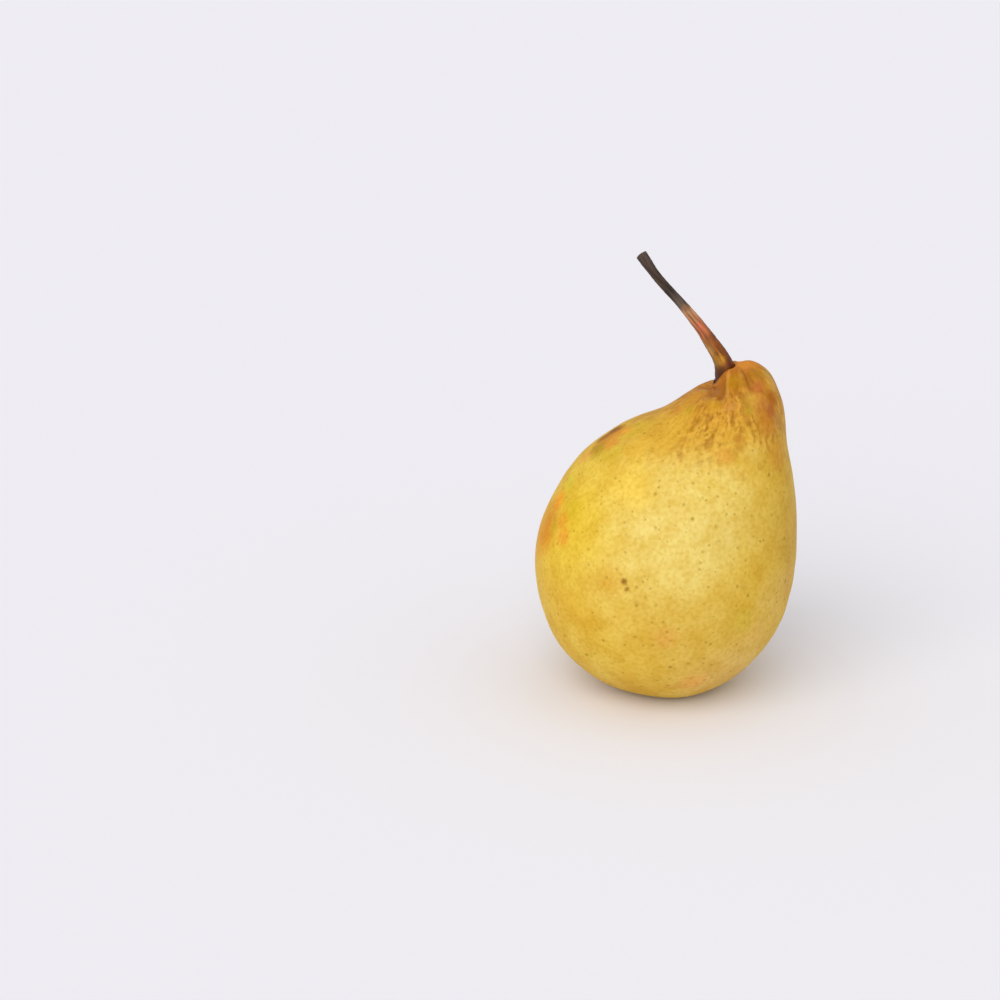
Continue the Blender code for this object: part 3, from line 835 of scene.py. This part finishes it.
def woody_stalk():
    """Young bark on a fleshy foot: orange brown and faintly glossy below, and dull, dark and wrinkled
    above, with fibres that run along it, drawn 0.7 mm wide, coarser than real ones, so that they show."""
    material, output = new_material("woody_stalk")
    tree = material.node_tree
    grain = add_node(tree, "ShaderNodeAttribute", attribute_name="grain").outputs["Vector"]
    along = add_node(tree, "ShaderNodeSeparateXYZ", {0: grain}).outputs[2]
    blotch = add_node(tree, "ShaderNodeTexNoise", {"Vector": grain, "Scale": BLOTCHES_PER_MM, "Detail": 3.0})
    uneven = add_node(tree, "ShaderNodeMath", {0: blotch.outputs[0], 1: BLOTCH_SHIFT, 2: along},
                      operation="MULTIPLY_ADD")
    length = STEM_LENGTH / MM
    share = add_node(tree, "ShaderNodeMapRange", {
        "Value": uneven.outputs[0], 1: BLOTCH_SHIFT / 2.0, 2: length + BLOTCH_SHIFT / 2.0})
    tones = add_node(tree, "ShaderNodeValToRGB", {"Fac": share.outputs[0]})
    stops = tones.color_ramp.elements
    stops.remove(stops[1])
    stops[0].color = linear(STALK_COLOURS[0][1])
    for height, tone in STALK_COLOURS[1:]:
        stops.new(height / length).color = linear(tone)
    tint = add_patches(tree, stirred(tree, grain, 1.2, 1.0), tones.outputs[0], STALK_PATCHES)

    drawn = add_node(tree, "ShaderNodeMapping", {"Vector": grain, "Scale": (1.0, 1.0, FIBRE_SQUEEZE)})
    fibre = add_node(tree, "ShaderNodeTexNoise", {
        "Vector": drawn.outputs[0], "Scale": FIBRES_PER_MM, "Detail": 4.0})
    streak = add_node(tree, "ShaderNodeMapRange", {
        "Value": fibre.outputs[0], 1: 0.35, 2: 0.65, 3: 0.50, 4: 1.45})
    colour = add_node(tree, "ShaderNodeMix", {0: 1.0, 6: tint, 7: streak.outputs[0]},
                      data_type="RGBA", blend_type="MULTIPLY")
    rough = add_node(tree, "ShaderNodeMapRange", {
        "Value": along, 1: BARK_START / MM - 2.0, 2: BARK_START / MM + 2.0,
        3: FLESHY_ROUGHNESS, 4: BARK_ROUGHNESS})
    bump = add_node(tree, "ShaderNodeBump", {
        "Strength": 0.7, "Distance": 0.2 * MM, "Height": fibre.outputs[0]})
    shader = add_node(tree, "ShaderNodeBsdfPrincipled", {
        "Base Color": colour.outputs[2], "Roughness": rough.outputs[0], "IOR": 1.45,
        "Specular IOR Level": 0.30, "Normal": bump.outputs[0]})
    tree.links.new(shader.outputs[0], output.inputs["Surface"])
    return material


stem = make_stem(stem_mouth)
stem.data.materials.append(woody_stalk())
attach(stem, "root")
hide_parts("stem")

# ---------------------------------------------------------------------------------------------
# Calyx scar. The dry corky disc on the basin's floor where the flower's sepals dropped off,
# with the withered stub of the styles at its middle.
# ---------------------------------------------------------------------------------------------
SCAR_RADIUS = 0.0028
SCAR_THICKNESS = 0.0011
STYLE_LENGTH = 0.0014
SCALLOPS = 5                # one for each sepal that dropped off
SCALLOP_DEPTH = 0.06        # as a share of the radius
WRINKLES = 23               # round the disc
WRINKLE_DEPTH = 0.02        # as a share of the radius
CORK_BROWN = "#36261A"
CORK_TAN = "#86643E"


def make_calyx_scar():
    """A turned profile: each point's radius is its share of the scar's radius, less a wave of scallops
    that grows to the rim and a wave of fine wrinkles that lean as they go out."""
    low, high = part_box("calyx_scar")
    centre = (np.array(low) + np.array(high)) / 2.0
    top = high[2]
    under = top - SCAR_THICKNESS
    profile = np.array([
        (0.10, top),
        (0.80, top),
        (1.00, top - 0.3 * SCAR_THICKNESS),
        (1.00, top - 0.7 * SCAR_THICKNESS),
        (0.85, under),
        (0.55, under + 0.2 * SCAR_THICKNESS),
        (0.34, under),
        (0.25, under - 0.4 * STYLE_LENGTH),
        (0.22, under - 0.9 * STYLE_LENGTH),
        (0.10, low[2] + 0.02 * MM),
    ])
    curve = smooth_curve(profile, 6)
    angle = np.linspace(0.0, 2.0 * math.pi, 96, endpoint=False)[None, :]
    share = curve[:, [0]]
    scallop = 1.0 - SCALLOP_DEPTH * smoothstep(share, 0.3, 1.0) * (1.0 + np.cos(SCALLOPS * angle)) / 2.0
    scallop = scallop * (1.0 - WRINKLE_DEPTH * (1.0 + np.cos(WRINKLES * angle + 9.0 * share)) / 2.0)
    x = centre[0] + SCAR_RADIUS * share * scallop * np.cos(angle)
    y = centre[1] + SCAR_RADIUS * share * scallop * np.sin(angle)
    rings = np.stack([x, y, curve[:, [1]] + 0.0 * angle], axis=-1)[::-1]
    start = np.array([centre[0], centre[1], low[2]])
    end = np.array([centre[0], centre[1], top])
    mesh = build_grid_mesh("calyx_cork", rings, start, end)
    scar = bpy.data.objects.new("calyx_cork", mesh)
    bpy.context.scene.collection.objects.link(scar)
    return scar


def dry_cork():
    """Dry cork: dark brown, dull and crumbly, with crumbs 0.4 mm across."""
    material, output = new_material("dry_cork")
    tree = material.node_tree
    place = add_node(tree, "ShaderNodeTexCoord")
    mm = add_node(tree, "ShaderNodeMapping", {
        "Vector": place.outputs["Object"], "Scale": (1.0 / MM, 1.0 / MM, 1.0 / MM)})
    crumbs = add_node(tree, "ShaderNodeTexNoise", {
        "Vector": mm.outputs[0], "Scale": 1.0 / 0.4, "Detail": 5.0, "Roughness": 0.7}).outputs[0]
    colour = add_node(tree, "ShaderNodeMix", {0: crumbs, 6: linear(CORK_BROWN), 7: linear(CORK_TAN)},
                      data_type="RGBA").outputs[2]
    bump = add_node(tree, "ShaderNodeBump", {"Strength": 0.9, "Distance": 0.3 * MM, "Height": crumbs})
    shader = add_node(tree, "ShaderNodeBsdfPrincipled", {
        "Base Color": colour, "Roughness": 0.9, "Normal": bump.outputs[0]})
    tree.links.new(shader.outputs[0], output.inputs["Surface"])
    return material


scar = make_calyx_scar()
scar.data.materials.append(dry_cork())
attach(scar, "root")
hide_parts("calyx_scar")
